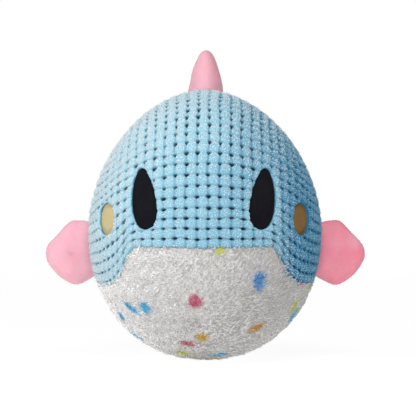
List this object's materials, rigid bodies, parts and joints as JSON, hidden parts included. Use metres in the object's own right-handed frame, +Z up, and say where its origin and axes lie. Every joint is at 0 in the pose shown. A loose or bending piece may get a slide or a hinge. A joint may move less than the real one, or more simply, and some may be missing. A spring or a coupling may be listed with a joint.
{
  "type": "plush dog toy",
  "caption": "Round stuffed whale toy for dogs, with a waffle plush back, a fleece belly, flapping fins and a squeaker inside.",
  "frame": {"origin": "middle of the flat under the belly that the toy rests on", "axes": "+Z up, the face looks along -Y, +X to the right of someone who faces the toy"},
  "size_m": [0.205, 0.1939, 0.1996],
  "materials": {
    "waffle_plush": "matte",
    "belly_fleece": "matte",
    "eye_felt": "matte",
    "cheek_felt": "matte",
    "fin_plush": "matte",
    "fibre": "matte",
    "squeaker_plastic": "satin",
    "reed_film": "satin"
  },
  "bodies": {
    "body": {"face_panel": "waffle_plush", "back_panel_left": "waffle_plush", "back_panel_right": "waffle_plush", "belly_panel": "belly_fleece", "eye_left": "eye_felt", "eye_right": "eye_felt", "cheek_left": "cheek_felt", "cheek_right": "cheek_felt", "body_filling_front": "fibre", "body_filling_rear": "fibre", "squeaker_base": "squeaker_plastic", "squeaker_bellows": "squeaker_plastic", "squeaker_plug": "squeaker_plastic", "squeaker_reed": "reed_film"},
    "left_fin": {"left_fin_front_skin": "fin_plush", "left_fin_rear_skin": "fin_plush", "left_fin_filling": "fibre"},
    "right_fin": {"right_fin_front_skin": "fin_plush", "right_fin_rear_skin": "fin_plush", "right_fin_filling": "fibre"},
    "dorsal_fin": {"dorsal_fin_left_skin": "fin_plush", "dorsal_fin_right_skin": "fin_plush", "dorsal_fin_filling": "fibre"},
    "tail": {"tail_upper_skin": "fin_plush", "tail_lower_skin": "fin_plush", "tail_filling": "fibre"},
    "squeaker_head": {"squeaker_crown": "squeaker_plastic"}
  },
  "joints": [
    {"name": "left_fin_flap", "type": "hinge", "parent": "body", "child": "left_fin", "pos_m": [-0.07424, 0.01, 0.06957], "axis": [-0.1151, 0, 0.9934], "range_deg": [-35, 35], "stiffness_Nm_per_rad": 0.02},
    {"name": "right_fin_flap", "type": "hinge", "parent": "body", "child": "right_fin", "pos_m": [0.07424, 0.01, 0.06957], "axis": [0.1151, 0, 0.9934], "range_deg": [-35, 35], "stiffness_Nm_per_rad": 0.02},
    {"name": "dorsal_fin_flop", "type": "hinge", "parent": "body", "child": "dorsal_fin", "pos_m": [0, 0.02988, 0.16716], "axis": [0, -0.8829, 0.4696], "range_deg": [-25, 25], "stiffness_Nm_per_rad": 0.04},
    {"name": "tail_wag", "type": "hinge", "parent": "body", "child": "tail", "pos_m": [0, 0.07842, 0.086], "axis": [1, 0, 0], "range_deg": [-30, 30], "stiffness_Nm_per_rad": 0.04},
    {"name": "squeaker_press", "type": "slide", "parent": "body", "child": "squeaker_head", "axis": [0, 0, -1], "range_m": [0, 0.008], "stiffness_N_per_m": 400, "deforming": ["squeaker_bellows"]}
  ]
}
